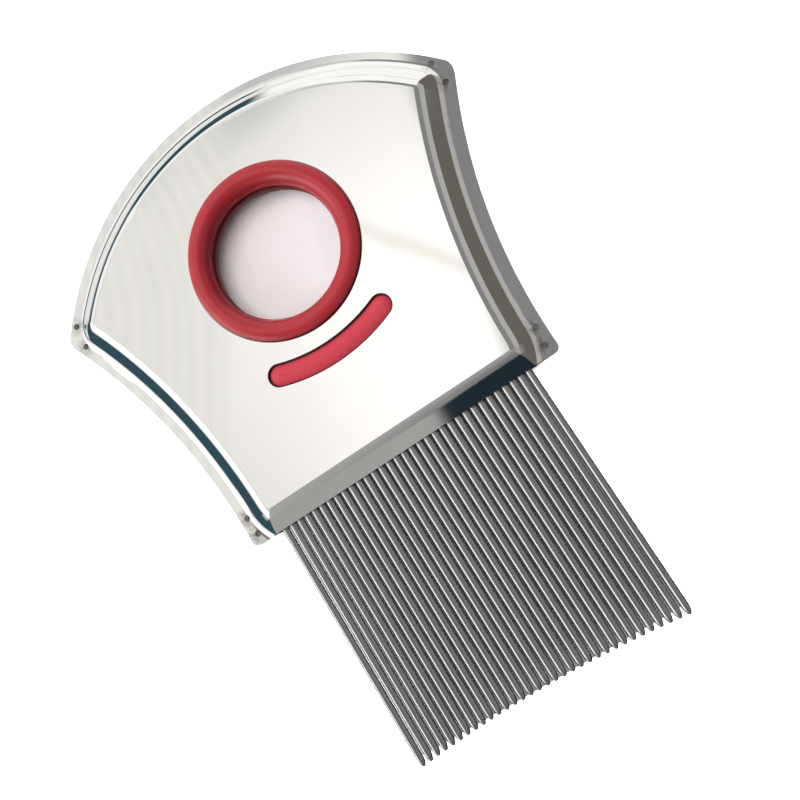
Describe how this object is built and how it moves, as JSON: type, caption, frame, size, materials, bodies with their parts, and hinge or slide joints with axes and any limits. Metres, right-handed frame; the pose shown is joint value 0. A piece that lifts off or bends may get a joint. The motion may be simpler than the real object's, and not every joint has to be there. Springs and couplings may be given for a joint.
{
  "type": "flea comb",
  "caption": "Fine-toothed steel flea comb with a fan-shaped pressed handle, a round magnifier in a red ring and a curved red insert.",
  "frame": {"origin": "middle of the object's bounding box, on the plane of the flat back face that it lies on", "axes": "+Y along the teeth from their tips to the crest of the handle, +Z out of the front face, X across the comb"},
  "size_m": [0.066, 0.0914, 0.0063],
  "materials": {
    "shell_steel": "polished, satin face",
    "tooth_steel": "ground",
    "weld_steel": "heat-darkened",
    "ring_red": "satin",
    "arc_red": "fine matt grain",
    "frame_plastic": "as moulded",
    "lens_glass": "clear, polished"
  },
  "bodies": {
    "root": {"front_shell": "shell_steel", "back_shell": "shell_steel", "front_lens_ring": "ring_red", "back_lens_ring": "ring_red", "lens": "lens_glass", "grip_arc": "arc_red", "core_frame": "frame_plastic", "front_tooth_clamp": "frame_plastic", "back_tooth_clamp": "frame_plastic", "spot_welds": "weld_steel", "tooth_01": "tooth_steel", "tooth_02": "tooth_steel", "tooth_03": "tooth_steel", "tooth_04": "tooth_steel", "tooth_05": "tooth_steel", "tooth_06": "tooth_steel", "tooth_07": "tooth_steel", "tooth_08": "tooth_steel", "tooth_09": "tooth_steel", "tooth_10": "tooth_steel", "tooth_11": "tooth_steel", "tooth_12": "tooth_steel", "tooth_13": "tooth_steel", "tooth_14": "tooth_steel", "tooth_15": "tooth_steel", "tooth_16": "tooth_steel", "tooth_17": "tooth_steel", "tooth_18": "tooth_steel", "tooth_19": "tooth_steel", "tooth_20": "tooth_steel", "tooth_21": "tooth_steel", "tooth_22": "tooth_steel", "tooth_23": "tooth_steel", "tooth_24": "tooth_steel", "tooth_25": "tooth_steel", "tooth_26": "tooth_steel", "tooth_27": "tooth_steel", "tooth_28": "tooth_steel", "tooth_29": "tooth_steel", "tooth_30": "tooth_steel", "tooth_31": "tooth_steel", "tooth_32": "tooth_steel", "tooth_33": "tooth_steel"}
  },
  "joints": []
}
